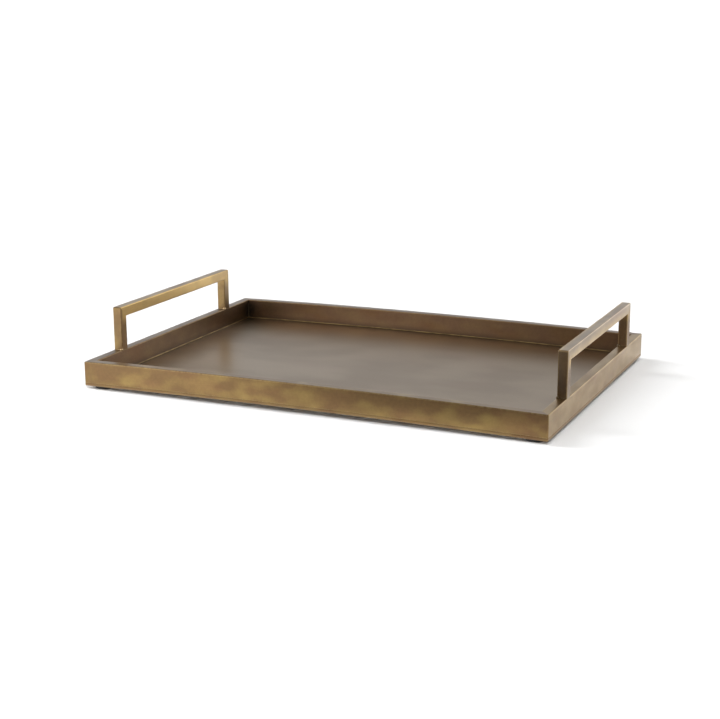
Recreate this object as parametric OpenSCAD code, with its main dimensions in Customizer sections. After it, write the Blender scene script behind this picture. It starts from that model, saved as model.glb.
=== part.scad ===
// Serving tray of brass. Four rails of drawn tube stand on a sheet base plate and
// are mitred at the corners, and a squared handle of the same tube stands on each
// end rail. Every joint is brazed, so nothing on the tray moves. Four rubber feet
// are stuck under the plate.
//
// Millimetres. +Z is up, X runs along the length, and the front is on the -Y side.
// The origin is on the surface that the tray stands on, midway between the feet.

/* [Tray] */
// Length over the two end rails
tray_l = 508; // [380:1:620]
// Width over the front and back rails
tray_w = 356; // [280:1:440]
// How far the long rails and the floor rise between the ends, as a brazed tray crowns
arch_rise = 2.4; // [0.2:0.2:4]

/* [Rails] */
// Width of the rim, seen from above
rail_w = 10; // [8:0.5:14]
// Height of a rail above the base plate
rail_h = 22.8; // [16:0.2:34]
// Wall thickness of the rail and handle tubes
tube_wall = 1.2; // [0.8:0.1:2]

/* [Base plate] */
// Thickness of the base plate, whose top is the floor of the tray
plate_t = 3; // [1.5:0.1:4]

/* [Handles] */
// Distance over the two posts of a handle
handle_w = 239; // [150:1:240]
// Height from the rim to the top of the grip
handle_h = 47.2; // [36:0.2:60]
// Thickness of the posts and the grip, seen from the end of the tray
bar_t = 11; // [8:0.5:13]
// Radius of the two outer corners of a handle
handle_corner_r = 1.6; // [0.5:0.1:3]

/* [Feet] */
// Diameter of a rubber foot
foot_d = 20; // [12:0.5:28]
// Height of the base plate above the standing surface, at the ends of the tray
foot_h = 3.2; // [2.4:0.1:6]
// Gap from the end of the tray to the edge of a foot
foot_inset_x = 6; // [3:0.5:30]
// Gap from the front or back of the tray to the edge of a foot
foot_inset_y = 3; // [2:0.5:30]
// Thickness of the adhesive disc that holds a foot
adhesive_t = 0.3; // [0.2:0.1:0.6]

/* [Solder] */
// Width of the solder fillets along the floor and up the inner corners
solder_leg = 1.2; // [0.6:0.1:2]
// Width of the solder fillets across the foot of each post
post_solder_leg = 1; // [0.5:0.1:1.5]
// Radius of the solder bead at the inner corner of each post's foot
bead_r = 1.9; // [1.2:0.1:2.4]

/* [Hidden] */

// Sides of the tray, as signs on X and Y
LEFT = -1;
RIGHT = 1;
FRONT = -1;
BACK = 1;

// Facets of a full circle
ROUND = 64;
// Room by which a cutting shape runs past what it cuts
PAST = 5;
// Straight stretches that make up the arch between the end rails
arch_steps = 24;

// Half sizes of the tray, outside and inside the rails
half_l = tray_l / 2;
half_w = tray_w / 2;
inner_l = half_l - rail_w;
inner_w = half_w - rail_w;

// Heights at the ends of the tray, where the arch starts
floor_z = foot_h + plate_t;
rim_z = floor_z + rail_h;
grip_z = rim_z + handle_h;

// Edge and chamfer of a rubber foot, and how much narrower its adhesive disc is
foot_chamfer = foot_h * 0.22;
foot_draft = foot_h * 0.1;
adhesive_margin = 1;
// How far the corner solder stops below the rim
corner_solder_drop = 1.4;
// How far a solder bead's centre lies in from the inner face of the rail
bead_inset = bead_r * 0.55;

// Stations along X where the arched surfaces change slope
solder_end = inner_l - solder_leg;
stations = concat(
    [-half_l],
    [for (i = [0:arch_steps]) solder_end * (2 * i / arch_steps - 1)],
    [half_l]
);
last = len(stations) - 1;

// Height that the arch adds at a place along the length
function arch(x) = arch_rise * (1 - pow(x / half_l, 2));

// Side view of a layer between two heights, bent along the arch
module arched_outline(low, high) {
    polygon(concat(
        [for (i = [0:last]) [stations[i], high + arch(stations[i])]],
        [for (i = [last:-1:0]) [stations[i], low + arch(stations[i])]]
    ));
}

// Layer between two heights, from y0 to y1
module arched_layer(low, high, y0, y1) {
    translate([0, y1, 0])
        rotate([90, 0, 0])
            linear_extrude(height = y1 - y0)
                arched_outline(low, high);
}

// Everything below a height that follows the arch, for trimming
module below(high) {
    arched_layer(-PAST - arch_rise, high, -half_w - PAST, half_w + PAST);
}

// Everything above a height that follows the arch, for trimming
module above(low) {
    arched_layer(low, grip_z + PAST, -half_w - PAST, half_w + PAST);
}

// ---- Base plate and rails ----

module base_plate() {
    color("#8d7f6d")
        arched_layer(foot_h, floor_z, -half_w, half_w);
}

// Long rail on the front or the back: a tube with mitred, open ends
module long_rail(side) {
    outer_y = side * half_w;
    inner_y = side * inner_w;
    color("#b08f5a")
        difference() {
            intersection() {
                arched_layer(floor_z, rim_z, -half_w, half_w);
                linear_extrude(height = grip_z)
                    polygon([
                        [-half_l, outer_y], [half_l, outer_y],
                        [inner_l, inner_y], [-inner_l, inner_y]
                    ]);
            }
            arched_layer(
                floor_z + tube_wall, rim_z - tube_wall,
                min(outer_y, inner_y) + tube_wall, max(outer_y, inner_y) - tube_wall
            );
        }
}

// End rail on the left or the right: a tube with mitred, open ends
module end_rail(side) {
    outer_x = side * half_l;
    inner_x = side * inner_l;
    color("#a98a58")
        difference() {
            intersection() {
                arched_layer(floor_z, rim_z, -half_w, half_w);
                linear_extrude(height = grip_z)
                    polygon([
                        [outer_x, -half_w], [outer_x, half_w],
                        [inner_x, inner_w], [inner_x, -inner_w]
                    ]);
            }
            intersection() {
                above(floor_z + tube_wall);
                below(rim_z - tube_wall);
                translate([min(outer_x, inner_x) + tube_wall, -half_w - PAST, 0])
                    cube([rail_w - 2 * tube_wall, tray_w + 2 * PAST, grip_z]);
            }
        }
}

module front_rail() { long_rail(FRONT); }
module back_rail() { long_rail(BACK); }
module left_rail() { end_rail(LEFT); }
module right_rail() { end_rail(RIGHT); }

// ---- Handles ----

// Outline of a handle seen from the end of the tray: Y across and Z up.
// It runs down past the rim, where the arch trims it.
module handle_outline(width, top, bar, corner_r) {
    bottom = rim_z - PAST;
    difference() {
        union() {
            translate([-width / 2, bottom])
                square([width, top - corner_r - bottom]);
            translate([corner_r - width / 2, bottom])
                square([width - 2 * corner_r, top - bottom]);
            for (side = [FRONT, BACK])
                translate([side * (width / 2 - corner_r), top - corner_r])
                    circle(r = corner_r, $fn = ROUND);
        }
        translate([bar - width / 2, bottom - PAST])
            square([width - 2 * bar, top - bar - bottom + PAST]);
    }
}

// Square-cornered outline of the hollow inside the handle's tubes
module handle_hollow_outline() {
    width = handle_w - 2 * tube_wall;
    bottom = rim_z - PAST;
    difference() {
        translate([-width / 2, bottom])
            square([width, grip_z - tube_wall - bottom]);
        translate([bar_t - tube_wall - handle_w / 2, bottom - PAST])
            square([handle_w - 2 * bar_t + 2 * tube_wall, grip_z - bar_t + tube_wall - bottom + PAST]);
    }
}

// Area of the grip, between the two mitres
module grip_area() {
    polygon([
        [-handle_w / 2 - PAST, grip_z + PAST], [handle_w / 2 + PAST, grip_z + PAST],
        [handle_w / 2 - bar_t, grip_z - bar_t], [bar_t - handle_w / 2, grip_z - bar_t]
    ]);
}

// Area of the post on one side of the handle, below its mitre
module post_area(side) {
    outer_y = side * (handle_w / 2 + PAST);
    inner_y = side * (handle_w / 2 - bar_t);
    polygon([
        [outer_y, rim_z - PAST], [inner_y, rim_z - PAST],
        [inner_y, grip_z - bar_t], [outer_y, grip_z + PAST]
    ]);
}

// Extrudes an outline in Y and Z along X, from x0
module along_x(x0, length) {
    translate([x0, 0, 0])
        rotate([90, 0, 90])
            linear_extrude(height = length)
                children();
}

// Lowest X of the end rail on one side
function rail_x0(end) = end == LEFT ? -half_l : inner_l;

module handle_tube(end) {
    difference() {
        along_x(rail_x0(end), rail_w)
            handle_outline(handle_w, grip_z, bar_t, handle_corner_r);
        along_x(rail_x0(end) + tube_wall, rail_w - 2 * tube_wall)
            handle_hollow_outline();
    }
}

module handle_grip(end) {
    color("#c2a878")
        intersection() {
            handle_tube(end);
            along_x(rail_x0(end) - PAST, rail_w + 2 * PAST)
                grip_area();
        }
}

module handle_post(end, side) {
    color("#b29a6c")
        difference() {
            intersection() {
                handle_tube(end);
                along_x(rail_x0(end) - PAST, rail_w + 2 * PAST)
                    post_area(side);
            }
            below(rim_z);
        }
}

module left_handle_grip() { handle_grip(LEFT); }
module left_handle_front_post() { handle_post(LEFT, FRONT); }
module left_handle_back_post() { handle_post(LEFT, BACK); }
module right_handle_grip() { handle_grip(RIGHT); }
module right_handle_front_post() { handle_post(RIGHT, FRONT); }
module right_handle_back_post() { handle_post(RIGHT, BACK); }

// ---- Feet ----

module at_foot(end, side) {
    translate([
        end * (half_l - foot_inset_x - foot_d / 2),
        side * (half_w - foot_inset_y - foot_d / 2),
        0
    ])
        children();
}

// Round rubber foot, slightly drafted, whose top is cut to the plate's slope
module foot(end, side) {
    top = foot_h + arch_rise;
    color("#1c1c1c")
        difference() {
            at_foot(end, side)
                rotate_extrude($fn = ROUND)
                    polygon([
                        [0, 0], [foot_d / 2 - foot_draft - foot_chamfer, 0],
                        [foot_d / 2 - foot_draft, foot_chamfer],
                        [foot_d / 2, foot_h - adhesive_t], [foot_d / 2, top], [0, top]
                    ]);
            above(foot_h - adhesive_t);
        }
}

module front_left_foot() { foot(LEFT, FRONT); }
module front_right_foot() { foot(RIGHT, FRONT); }
module back_left_foot() { foot(LEFT, BACK); }
module back_right_foot() { foot(RIGHT, BACK); }

module foot_adhesive_discs() {
    color("#d8d2c4")
        for (end = [LEFT, RIGHT], side = [FRONT, BACK])
            intersection() {
                at_foot(end, side)
                    cylinder(d = foot_d - 2 * adhesive_margin, h = floor_z, $fn = ROUND);
                arched_layer(foot_h - adhesive_t, foot_h, -half_w, half_w);
            }
}

// ---- Solder ----

// One triangular section of the long floor fillet at station x
function fillet_section(x, side) = [
    [x, side * inner_w, floor_z + arch(x)],
    [x, side * (inner_w - solder_leg), floor_z + arch(x)],
    [x, side * inner_w, floor_z + arch(x) + solder_leg]
];

// Fillet where the floor meets a long rail: a triangle swept along the arch
module long_floor_solder(side) {
    first = 1;
    count = last - 1;
    sections = [for (i = [first:count]) each fillet_section(stations[i], side)];
    walls = [
        for (i = [0:count - first - 1], k = [0:2])
            let(a = 3 * i + k, b = 3 * i + (k + 1) % 3)
                side == FRONT ? [a, a + 3, b + 3, b] : [a, b, b + 3, a + 3]
    ];
    ends = side == FRONT
        ? [[0, 1, 2], [3 * (count - first) + 2, 3 * (count - first) + 1, 3 * (count - first)]]
        : [[2, 1, 0], [3 * (count - first), 3 * (count - first) + 1, 3 * (count - first) + 2]];
    color("#8a7245")
        polyhedron(points = sections, faces = concat(walls, ends));
}

// Fillet where the floor meets an end rail
module end_floor_solder(end) {
    length = 2 * (inner_w - solder_leg);
    x = end * inner_l;
    top = floor_z + arch(inner_l) + solder_leg;
    color("#8a7245")
        difference() {
            translate([0, length / 2, 0])
                rotate([90, 0, 0])
                    linear_extrude(height = length)
                        polygon([
                            [x, top], [x, floor_z - PAST],
                            [x - end * solder_leg, floor_z - PAST],
                            [x - end * solder_leg, floor_z + arch(solder_end)]
                        ]);
            below(floor_z);
        }
}

// Fillet up an inner corner, between two rails
module corner_solder(end, side) {
    x = end * inner_l;
    y = side * inner_w;
    color("#6f5d3c")
        difference() {
            linear_extrude(height = rim_z - corner_solder_drop)
                polygon([[x, y], [x - end * solder_leg, y], [x, y - side * solder_leg]]);
            below(floor_z);
        }
}

// Solder at the foot of a post: a fillet across its front and its back, and a bead
// at the inner corner of its front face
module post_solder(end, side) {
    low_y = side * (handle_w / 2 - bar_t / 2) - bar_t / 2;
    high_y = low_y + bar_t;
    leg = post_solder_leg;
    color("#9a8355")
        difference() {
            union() {
                along_x(rail_x0(end), rail_w) {
                    polygon([
                        [low_y, rim_z + leg], [low_y - leg, rim_z],
                        [low_y - leg, rim_z - leg], [low_y, rim_z - leg]
                    ]);
                    polygon([
                        [high_y, rim_z + leg], [high_y, rim_z - leg],
                        [high_y + leg, rim_z - leg], [high_y + leg, rim_z]
                    ]);
                }
                translate([end * (inner_l + bead_inset), low_y, rim_z])
                    sphere(r = bead_r, $fn = ROUND);
            }
            below(rim_z);
            translate([rail_x0(end), low_y, 0])
                cube([rail_w, bar_t, grip_z]);
        }
}

module front_floor_solder() { long_floor_solder(FRONT); }
module back_floor_solder() { long_floor_solder(BACK); }
module left_floor_solder() { end_floor_solder(LEFT); }
module right_floor_solder() { end_floor_solder(RIGHT); }
module front_left_corner_solder() { corner_solder(LEFT, FRONT); }
module front_right_corner_solder() { corner_solder(RIGHT, FRONT); }
module back_left_corner_solder() { corner_solder(LEFT, BACK); }
module back_right_corner_solder() { corner_solder(RIGHT, BACK); }
module left_front_post_solder() { post_solder(LEFT, FRONT); }
module left_back_post_solder() { post_solder(LEFT, BACK); }
module right_front_post_solder() { post_solder(RIGHT, FRONT); }
module right_back_post_solder() { post_solder(RIGHT, BACK); }

// ---- Assembly ----

base_plate();
front_rail();
back_rail();
left_rail();
right_rail();
left_handle_grip();
left_handle_front_post();
left_handle_back_post();
right_handle_grip();
right_handle_front_post();
right_handle_back_post();
front_left_foot();
front_right_foot();
back_left_foot();
back_right_foot();
foot_adhesive_discs();
front_floor_solder();
back_floor_solder();
left_floor_solder();
right_floor_solder();
front_left_corner_solder();
front_right_corner_solder();
back_left_corner_solder();
back_right_corner_solder();
left_front_post_solder();
left_back_post_solder();
right_front_post_solder();
right_back_post_solder();
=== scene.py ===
"""Brass serving tray on a white studio floor.

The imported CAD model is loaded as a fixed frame, and each of its nodes is replaced by a
finished mesh in the same place: hand-rounded tube for the rails and handles, a crowned
base plate, concave solder and moulded rubber feet. All sizes are in metres and are
worked out from the boxes of the CAD nodes.
"""

import math

import bmesh
import bpy
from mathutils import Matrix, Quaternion, Vector, noise


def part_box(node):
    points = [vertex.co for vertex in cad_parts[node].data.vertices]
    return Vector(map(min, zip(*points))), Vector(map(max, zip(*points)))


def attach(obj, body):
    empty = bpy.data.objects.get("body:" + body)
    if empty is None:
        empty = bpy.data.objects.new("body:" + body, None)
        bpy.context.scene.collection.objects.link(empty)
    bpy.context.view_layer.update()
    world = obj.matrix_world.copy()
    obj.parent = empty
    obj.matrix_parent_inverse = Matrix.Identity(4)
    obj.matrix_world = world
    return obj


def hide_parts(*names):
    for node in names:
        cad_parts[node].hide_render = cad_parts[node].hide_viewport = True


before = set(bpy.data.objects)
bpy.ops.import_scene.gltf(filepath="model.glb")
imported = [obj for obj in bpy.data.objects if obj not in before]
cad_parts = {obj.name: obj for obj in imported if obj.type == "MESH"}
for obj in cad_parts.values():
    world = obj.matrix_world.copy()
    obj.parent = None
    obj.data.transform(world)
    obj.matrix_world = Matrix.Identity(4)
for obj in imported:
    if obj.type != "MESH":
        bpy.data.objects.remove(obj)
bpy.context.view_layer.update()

MM = 0.001

# ---- Sizes taken from the frame ----

plate_low, plate_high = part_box("base_plate")
front_low, front_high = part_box("front_rail")
grip_low, grip_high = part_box("left_handle_grip")
post_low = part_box("left_handle_front_post")[0]

HALF_L = plate_high.x
HALF_W = plate_high.y
RAIL_W = front_high.y - front_low.y
FLOOR_Z = front_low.z
PLATE_T = front_low.z - plate_low.z
ARCH_RISE = plate_high.z - FLOOR_Z
RIM_Z = front_high.z - ARCH_RISE
RAIL_H = RIM_Z - FLOOR_Z
GRIP_Z = grip_high.z
BAR_T = grip_high.z - grip_low.z
HANDLE_HALF = -post_low.y
INNER_L = HALF_L - RAIL_W
INNER_W = HALF_W - RAIL_W

# ---- Finish of the metal edges ----

RIM_EDGE_R = 0.9 * MM
SEAM_EDGE_R = 0.25 * MM
TRAY_CORNER_R = 1.3 * MM
HANDLE_EDGE_R = 0.9 * MM
HANDLE_CORNER_R = 2.0 * MM
ROUND_STEPS = 5
WEAR_WIDTH = 0.5 * MM
# Wear on the outer corners, where 1 is that of the long edges
TRAY_CORNER_WEAR = 0.15
HANDLE_CORNER_WEAR = 0.6
WAVE_DEPTH = 0.06 * MM
WAVE_SIZE = 45 * MM
# Length over which the rim's edge is squared off beside a post
BLEND_W = 1.2 * MM
# Reach of the dark patina and painted shade from the inner corners, and up the walls from the floor
DARK_CORNER_REACH = 23 * MM
DARK_FOOT_REACH = 7 * MM
# Darkening of the rims of the back and left rails
RIM_DARKENING = 0.3
# How dark the foot of the walls is, with patina and painted shade
FOOT_GRIME_AND_SHADE = 0.5
# How far down a post the brightness of the grip fades out
HELD_AND_SHEEN_FADE = 9 * MM
# How bright hand polish and a painted sheen make a grip's underside, and how that drops from front
# to back
HELD_AND_SHEEN_BELOW = 0.8
HELD_AND_SHEEN_MIDDLE, HELD_AND_SHEEN_DROP = 1.1, 0.6

# ---- How finely the meshes are divided ----

LONG_RAIL_STEPS, END_RAIL_STEPS, END_RAIL_TAIL_STEPS = 96, 24, 5
GRIP_STEPS, POST_STEPS = 32, 8
PLATE_STEPS_X, PLATE_STEPS_Y = 64, 32
# Rings of points keep this far from the mitres of the rails, and from the posts
MITRE_CLEAR, POST_CLEAR = 2 * MM, 6 * MM
# Points closer than this are one, and edges shorter than this are taken out
WELD, SHORTEST_EDGE = 0.004 * MM, 0.002 * MM
# Faces that meet at more than this angle, in degrees, have a sharp edge
METAL_ANGLE, SOLDER_ANGLE = 40, 60

ENDS = {"left": -1, "right": 1}
SIDES = {"front": -1, "back": 1}


def arch(x):
    """Height that the crown of the tray adds at a place along its length."""
    return ARCH_RISE * (1 - min(1.0, (x / HALF_L) ** 2))


def toward(azimuth, elevation):
    """Direction at an azimuth from the front towards the right, and an elevation."""
    a, e = math.radians(azimuth), math.radians(elevation)
    return Vector((math.sin(a) * math.cos(e), -math.cos(a) * math.cos(e), math.sin(e)))


def new_piece(name, bm, material, smooth_angle=METAL_ANGLE):
    """Turns a bmesh into an object that stands for the CAD node of the same name."""
    bmesh.ops.remove_doubles(bm, verts=bm.verts, dist=WELD)
    bmesh.ops.dissolve_degenerate(bm, edges=bm.edges, dist=SHORTEST_EDGE)
    bmesh.ops.recalc_face_normals(bm, faces=bm.faces)
    mesh = bpy.data.meshes.new(name)
    bm.to_mesh(mesh)
    bm.free()
    for polygon in mesh.polygons:
        polygon.use_smooth = True
    mesh.set_sharp_from_angle(angle=math.radians(smooth_angle))
    mesh.materials.append(material)
    piece = bpy.data.objects.new(name + "_finish", mesh)
    bpy.context.scene.collection.objects.link(piece)
    weighted = piece.modifiers.new("even_shading", "WEIGHTED_NORMAL")
    weighted.keep_sharp = True
    weighted.weight = 100
    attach(piece, "root")
    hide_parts(name)


# ---- Mitred bars: the rails and the handles ----


def section_loop(depth, width, radii):
    """Outline of a bar's section as (depth, width, wear), round its four corners.

    Depth runs inwards from the outer face. The corners are outer low, outer high,
    inner high and inner low, each with its own radius. Wear is 1 on the rounded edges.
    """
    corners = [(0, 0, 180), (0, width, 90), (depth, width, 0), (depth, 0, -90)]
    loop = []
    for (d, w, start), r in zip(corners, radii):
        centre = (d + (r if d == 0 else -r), w + (r if w == 0 else -r))
        turn = []
        for i in range(ROUND_STEPS + 1):
            a = math.radians(start + 90 - 90 * i / ROUND_STEPS)
            turn.append((centre[0] + r * math.cos(a), centre[1] + r * math.sin(a), 1.0))
        loop.append(turn)
    # The walk goes up the outer face, over the top, down the inner face and back.
    points = []
    for i, turn in enumerate(loop):
        points += turn
        following = loop[(i + 1) % 4][0]
        points += flat_points(turn[-1], following)
    return points


def flat_points(start, end):
    """Points across a flat face, with a narrow strip of wear beside each edge."""
    a, b = Vector(start[:2]), Vector(end[:2])
    length = (b - a).length
    inset = min(WEAR_WIDTH, length / 4) / length
    shares = [inset, 0.3, 0.5, 0.7, 1 - inset]
    return [(*a.lerp(b, share), 0.0) for share in shares]


def even(low, high, steps):
    """Even places from low to high, both included."""
    return [low + (high - low) * i / steps for i in range(steps + 1)]


def squared(d, w, depth, width, r, amount):
    """Moves a point of the rounded upper edges out towards the sharp corner."""
    rise = w - (width - r)
    run = (r - d) if d < depth / 2 else (d - (depth - r))
    if amount <= 0 or rise < 0 or run < 0:
        return d, w
    grow = 1 + amount * (r / max(rise, run, 0.01 * r) - 1)
    away = run * grow
    return (r - away if d < depth / 2 else depth - r + away), width - r + rise * grow


def smooth(value):
    """Eases a value from 0 to 1, and holds it there outside that range."""
    t = max(0.0, min(1.0, value))
    return t * t * (3 - 2 * t)


def grime_and_shade_at(point):
    """How dark a place is made: patina and painted shade in the inner corners and along the foot of
    the walls, and a darkening of two rims.
    """
    to_end = INNER_L - abs(point.x)
    to_side = INNER_W - abs(point.y)
    over_rim = point.z - RIM_Z - arch(point.x)
    if over_rim < 0.01 * MM and (point.y > INNER_W + 0.1 * MM or point.x < -INNER_L - 0.1 * MM):
        return RIM_DARKENING * smooth(over_rim / RIM_EDGE_R + 1)
    if min(to_end, to_side) < -0.3 * RAIL_W:
        return 0.0
    corner = smooth(1 - max(0.0, max(to_end, to_side)) / DARK_CORNER_REACH)
    foot = smooth(1 - (point.z - FLOOR_Z - arch(point.x)) / DARK_FOOT_REACH)
    below_rim = smooth((RIM_Z + arch(point.x) - point.z) / (4 * RIM_EDGE_R))
    return max(corner * below_rim, FOOT_GRIME_AND_SHADE * foot)


def bar(place, outer_low, outer_high, mitres, section, corner_r, stations, corner_wear, held_and_sheen=None):
    """A closed bar swept along its outer face.

    place turns (along, depth, width) into a point. mitres says for the low and the high
    end whether it is cut at 45 degrees, with its outer corner rounded, or square.
    Stations are the places between the two ends where the bar has a ring of points.
    corner_wear is the wear on the rounded outer corners. The last argument, if given, turns
    (along, depth, width) into how much hand polish and a painted sheen brighten it.
    """
    bm = bmesh.new()
    wear_layer = bm.verts.layers.float.new("wear")
    grime_and_shade_layer = bm.verts.layers.float.new("grime_and_shade")
    held_and_sheen_layer = bm.verts.layers.float.new("held_and_sheen")
    turns = [math.radians(45 * i / ROUND_STEPS) for i in range(1, ROUND_STEPS + 1)]
    rows = []
    for d, w, wear in section:
        reach = max(d, corner_r)
        low = outer_low + (reach if mitres[0] else 0)
        high = outer_high - (reach if mitres[1] else 0)
        turn_r = max(0.0, corner_r - d)
        line = [(a, d, False) for a in (low, *stations, high)]
        arc = [(turn_r * math.sin(t), d + turn_r * (1 - math.cos(t))) for t in turns]
        if mitres[0]:
            line = [(low - a, depth, True) for a, depth in reversed(arc)] + line
        if mitres[1]:
            line += [(high + a, depth, True) for a, depth in arc]
        row = []
        for along, depth, turned in line:
            vert = bm.verts.new(place(along, depth, w))
            vert[wear_layer] = corner_wear if turned and d < corner_r else wear
            vert[grime_and_shade_layer] = grime_and_shade_at(vert.co)
            vert[held_and_sheen_layer] = held_and_sheen(along, depth, w) if held_and_sheen else 0.0
            row.append(vert)
        rows.append(row)
    for here, there in zip(rows, rows[1:] + rows[:1]):
        for k in range(len(here) - 1):
            bm.faces.new((here[k], here[k + 1], there[k + 1], there[k]))
    bm.faces.new([row[0] for row in rows])
    bm.faces.new([row[-1] for row in reversed(rows)])
    return bm


def wave(point, seed):
    """Slight unevenness of a hand-finished face, from 0 to its full depth."""
    here = Vector(point) / WAVE_SIZE + Vector((seed, 0, 0))
    return WAVE_DEPTH * (0.5 + 0.5 * max(-1, min(1, noise.noise(here))))


def rail_section():
    """Section of a rail: soft edges on the rim, and tight ones at the seam below."""
    return section_loop(RAIL_W, RAIL_H, (SEAM_EDGE_R, RIM_EDGE_R, RIM_EDGE_R, SEAM_EDGE_R))


def make_long_rail(name, material, side):
    """Front or back rail, which rises and falls with the crown of the tray."""

    def place(a, d, w):
        depth = d + (wave((a, w, 0), 7 * side) if d < RAIL_W / 2 else 0)
        return Vector((a, side * (HALF_W - depth), FLOOR_Z + w + arch(a)))

    reach = INNER_L - MITRE_CLEAR
    stations = even(-reach, reach, LONG_RAIL_STEPS)
    bm = bar(
        place, -HALF_L, HALF_L, (True, True), rail_section(), TRAY_CORNER_R, stations,
        TRAY_CORNER_WEAR,
    )
    new_piece(name, bm, material)


def flush_at(y):
    """How far the rim's edge is squared off where a post stands, from 0 to 1."""
    inside = min(abs(y) - (HANDLE_HALF - BAR_T), HANDLE_HALF - abs(y))
    return max(0.0, min(1.0, 1 + inside / BLEND_W))


def make_end_rail(name, material, end):
    """Left or right rail, ground flush with the posts that stand on it."""

    def place(a, d, w):
        d, w = squared(d, w, RAIL_W, RAIL_H, RIM_EDGE_R, flush_at(a))
        x = end * (HALF_L - d)
        return Vector((x, a, FLOOR_Z + w + arch(x)))

    reach = INNER_W - MITRE_CLEAR
    inner, outer = HANDLE_HALF - BAR_T, HANDLE_HALF
    posts = [e for edge in (inner, outer) for e in even(edge - BLEND_W, edge + BLEND_W, 4)]
    tail = even(outer + POST_CLEAR, reach, END_RAIL_TAIL_STEPS)
    stations = sorted(
        even(-inner + POST_CLEAR, inner - POST_CLEAR, END_RAIL_STEPS)
        + [side * p for side in (-1, 1) for p in posts + tail]
    )
    bm = bar(
        place, -HALF_W, HALF_W, (True, True), rail_section(), TRAY_CORNER_R, stations,
        TRAY_CORNER_WEAR,
    )
    new_piece(name, bm, material)


def make_handle(end_name, grip_metal, post_metal):
    """Grip and two posts of one handle, mitred at the top corners."""
    x0 = min(ENDS[end_name] * HALF_L, ENDS[end_name] * INNER_L)
    section = section_loop(BAR_T, RAIL_W, (HANDLE_EDGE_R,) * 4)

    def grip_place(a, d, w):
        return Vector((x0 + w, a, GRIP_Z - d))

    def grip_held_and_sheen(a, d, w):
        """Hand polish and a painted sheen brighten the face towards the tray and the underside, most
        near the front.
        """
        toward_tray = w / RAIL_W if end_name == "left" else 1 - w / RAIL_W
        rubbed = smooth(max(toward_tray ** 4, HELD_AND_SHEEN_BELOW * d / BAR_T))
        return rubbed * smooth(HELD_AND_SHEEN_MIDDLE - HELD_AND_SHEEN_DROP * a / HANDLE_HALF)

    reach = HANDLE_HALF - BAR_T - 1 * MM
    bm = bar(
        grip_place, -HANDLE_HALF, HANDLE_HALF, (True, True), section, HANDLE_CORNER_R,
        even(-reach, reach, GRIP_STEPS), HANDLE_CORNER_WEAR, grip_held_and_sheen,
    )
    new_piece(end_name + "_handle_grip", bm, grip_metal)
    stations = even(RIM_Z + 1.5 * MM, GRIP_Z - BAR_T - 1 * MM, POST_STEPS)
    for side_name, side in SIDES.items():

        def post_place(a, d, w, side=side):
            x = x0 + w
            return Vector((x, side * (HANDLE_HALF - d), a + (arch(x) if a <= RIM_Z else 0)))

        def post_held_and_sheen(a, d, w, side=side):
            """The bright place of polish and painted sheen runs on round the top corner, and soon
            fades.
            """
            fade = smooth(1 - (GRIP_Z - BAR_T - a) / HELD_AND_SHEEN_FADE) * smooth(2 * d / BAR_T)
            return grip_held_and_sheen(side * (HANDLE_HALF - d), GRIP_Z - a, w) * fade

        bm = bar(
            post_place, RIM_Z, GRIP_Z, (False, True), section, HANDLE_CORNER_R, stations,
            HANDLE_CORNER_WEAR, post_held_and_sheen,
        )
        new_piece(f"{end_name}_handle_{side_name}_post", bm, post_metal)


# ---- Base plate ----


def make_plate(material):
    """Sheet with its edges broken, bent to the crown of the tray."""
    bm = bmesh.new()
    size = Vector((2 * HALF_L, 2 * HALF_W, PLATE_T))
    bmesh.ops.create_cube(bm, size=1)
    for vert in bm.verts:
        vert.co = Vector(vert.co[i] * size[i] for i in range(3))
    upright = [e for e in bm.edges if abs((e.verts[0].co - e.verts[1].co).z) > PLATE_T / 2]
    bmesh.ops.bevel(
        bm, geom=upright, offset=TRAY_CORNER_R, segments=ROUND_STEPS, affect="EDGES",
        profile=0.5,
    )
    rims = [e for e in bm.edges if abs((e.verts[0].co - e.verts[1].co).z) < PLATE_T / 2]
    bmesh.ops.bevel(
        bm, geom=rims, offset=SEAM_EDGE_R, segments=3, affect="EDGES", profile=0.5
    )
    for axis, reach, steps in ((0, HALF_L, PLATE_STEPS_X), (1, HALF_W, PLATE_STEPS_Y)):
        for i in range(1, steps):
            normal = Vector((axis == 0, axis == 1, 0))
            place = normal * reach * (2 * i / steps - 1)
            bmesh.ops.bisect_plane(
                bm, geom=bm.verts[:] + bm.edges[:] + bm.faces[:], plane_co=place,
                plane_no=normal, dist=0.01 * MM,
            )
    wear_layer = bm.verts.layers.float.new("wear")
    grime_and_shade_layer = bm.verts.layers.float.new("grime_and_shade")
    for vert in bm.verts:
        # Only the upper face gets the grime and painted shade.
        vert[grime_and_shade_layer] = 1.0 if vert.co.z > 0 else 0.0
        on_edge = HALF_L - abs(vert.co.x) < SEAM_EDGE_R or HALF_W - abs(vert.co.y) < SEAM_EDGE_R
        vert[wear_layer] = 1.0 if on_edge else 0.0
        vert.co.z += FLOOR_Z - PLATE_T / 2 + arch(vert.co.x)
    new_piece("base_plate", bm, material)


# ---- Feet and adhesive ----

# Adhesive between a foot and the plate, how much smaller its disc is, and its broken edge
ADHESIVE_T, DISC_INSET, DISC_EDGE = 0.3 * MM, 1.0 * MM, 0.1 * MM
FOOT_TOP = plate_low.z - ADHESIVE_T
# Where the flat tread of a foot starts and ends, as shares of its radius
TREAD_START, TREAD_END = 0.62, 0.9
# Rounding of its lower edge: height, share of that outwards, and steps
TREAD_ROUND, TREAD_ROUND_OUT, TREAD_STEPS = 0.7 * MM, 0.8, 4
# Points of its shoulder: distance in from the radius, and down from the top
SHOULDER = ((0.15 * MM, 0.35 * MM), (0.3 * MM, 0.05 * MM), (0.6 * MM, 0.0))
FOOT_SEGMENTS, DISC_SEGMENTS = 64, 48


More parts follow.
